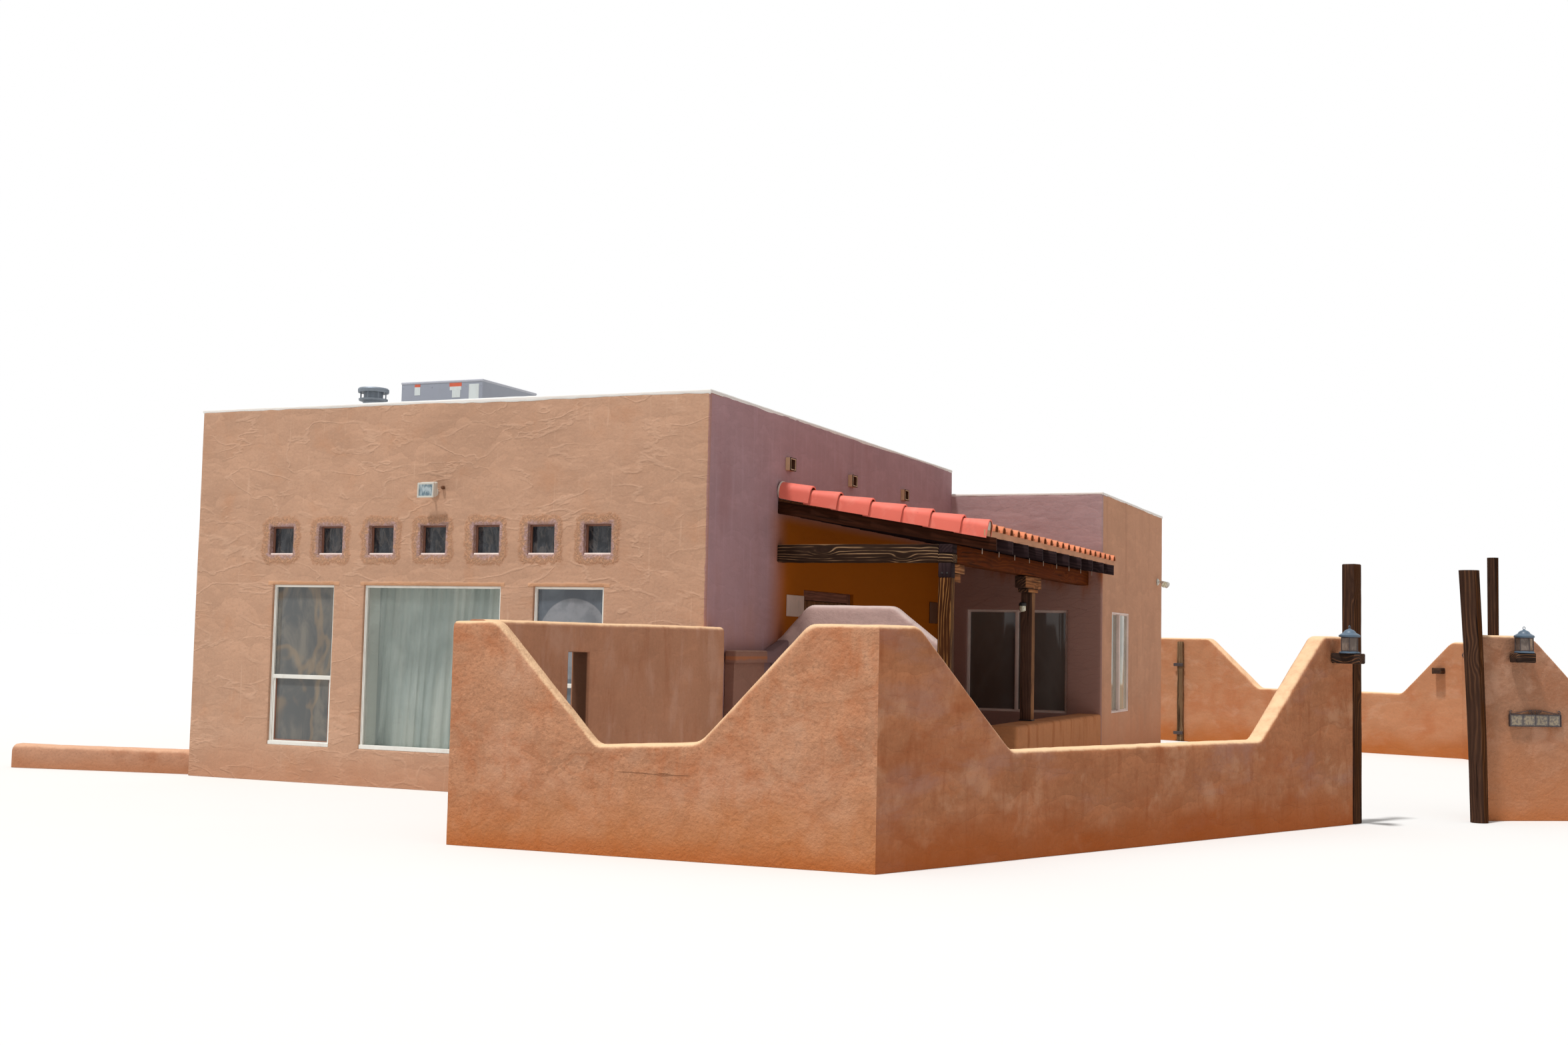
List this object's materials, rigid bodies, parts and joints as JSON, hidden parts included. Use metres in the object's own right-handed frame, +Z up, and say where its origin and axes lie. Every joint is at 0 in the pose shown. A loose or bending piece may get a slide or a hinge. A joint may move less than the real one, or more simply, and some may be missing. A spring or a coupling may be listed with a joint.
{
  "type": "adobe house with walled yard",
  "caption": "Flat-roofed adobe house with a lower rear wing, a tiled corner porch on timber posts, and stepped adobe yard walls with gate posts and lanterns.",
  "frame": {"origin": "centre of the main block on the ground, on the underside of its floor slab", "axes": "+X to the right along the front, +Y to the back, +Z up"},
  "size_m": [19.3313, 20.1228, 4.83],
  "materials": {
    "tan_stucco": "hand-trowelled stucco over adobe, faded tan",
    "mauve_stucco": "hand-trowelled stucco, dusky mauve",
    "orange_stucco": "weathered stucco with red earth stains",
    "concrete": "float-finished concrete",
    "roof_coating": "white elastomeric coating",
    "window_frame": "white painted aluminium",
    "glass": "clear glass units",
    "curtain": "pleated pale teal cloth",
    "dark_timber": "weathered dark-stained softwood",
    "door_timber": "varnished planks",
    "painted_timber": "tan painted board",
    "clay_tile": "unglazed clay barrel tile",
    "coral_tile": "coral red painted clay tile",
    "lantern_metal": "slate grey paint on cast metal",
    "grey_sheet_metal": "grey painted sheet steel",
    "galvanised": "galvanised sheet steel",
    "lamp_housing": "off-white painted aluminium"
  },
  "bodies": {
    "root": {"front_wall": "tan_stucco", "right_wall": "mauve_stucco", "left_wall": "tan_stucco", "dividing_wall": "tan_stucco", "wing_front_wall": "mauve_stucco", "wing_right_wall": "tan_stucco", "wing_back_wall": "tan_stucco", "floor_slab": "concrete", "porch_floor": "concrete", "main_roof": "roof_coating", "wing_roof": "roof_coating", "parapet_caps": "roof_coating", "hung_windows": "window_frame", "picture_window": "window_frame", "small_windows": "window_frame", "wing_windows": "window_frame", "window_glass": "glass", "curtains": "curtain", "door_frame": "dark_timber", "entry_doors": "door_timber", "porch_posts": "dark_timber", "front_beam": "dark_timber", "eave_beam": "dark_timber", "corbels": "dark_timber", "rafters": "dark_timber", "porch_deck": "dark_timber", "fascia": "painted_timber", "field_tiles": "clay_tile", "rake_tiles": "coral_tile", "low_porch_wall": "orange_stucco", "screen_wall": "mauve_stucco", "wall_ledge": "mauve_stucco", "front_yard_wall": "orange_stucco", "angled_yard_wall": "orange_stucco", "side_yard_wall": "orange_stucco", "gate_wall": "orange_stucco", "return_wall": "orange_stucco", "rear_yard_wall": "orange_stucco", "left_low_wall": "orange_stucco", "gate_posts": "dark_timber", "wall_blocks": "dark_timber", "lanterns": "lantern_metal", "number_plate": "lantern_metal", "cooling_unit": "grey_sheet_metal", "roof_vent": "galvanised", "scuppers": "grey_sheet_metal", "floodlights": "lamp_housing"}
  },
  "joints": []
}
